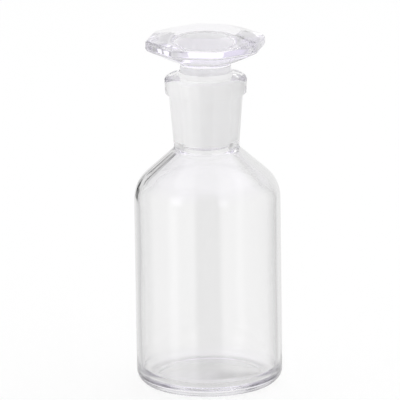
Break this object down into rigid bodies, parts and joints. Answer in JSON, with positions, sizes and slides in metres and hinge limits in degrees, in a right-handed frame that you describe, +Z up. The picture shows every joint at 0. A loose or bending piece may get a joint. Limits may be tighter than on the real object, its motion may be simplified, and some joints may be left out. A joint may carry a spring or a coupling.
{
  "type": "reagent bottle",
  "caption": "Clear glass reagent bottle with a straight wall, sloping shoulder, tapered neck and thick collar, closed by a lift-out ground glass stopper with a faceted flat head.",
  "frame": {"origin": "middle of the foot, on the surface that the bottle stands on", "axes": "+Z up along the axis of the glass, towards the stopper; +X to the right in the picture's view, with the stopper's head turned 11 degrees about Z from a corner on +X"},
  "size_m": [0.052, 0.052, 0.1279],
  "materials": {
    "bottle_glass": "clear and glossy, with the bore of the neck ground to an even white satin",
    "stopper_glass": "clear and glossy, with the conical plug ground to an even white satin"
  },
  "bodies": {
    "bottle": {"bottle": "bottle_glass"},
    "stopper": {"stopper": "stopper_glass"}
  },
  "joints": [
    {"name": "stopper_lift", "type": "slide", "parent": "bottle", "child": "stopper", "axis": [0, 0, 1], "range_m": [0, 0.04]}
  ]
}
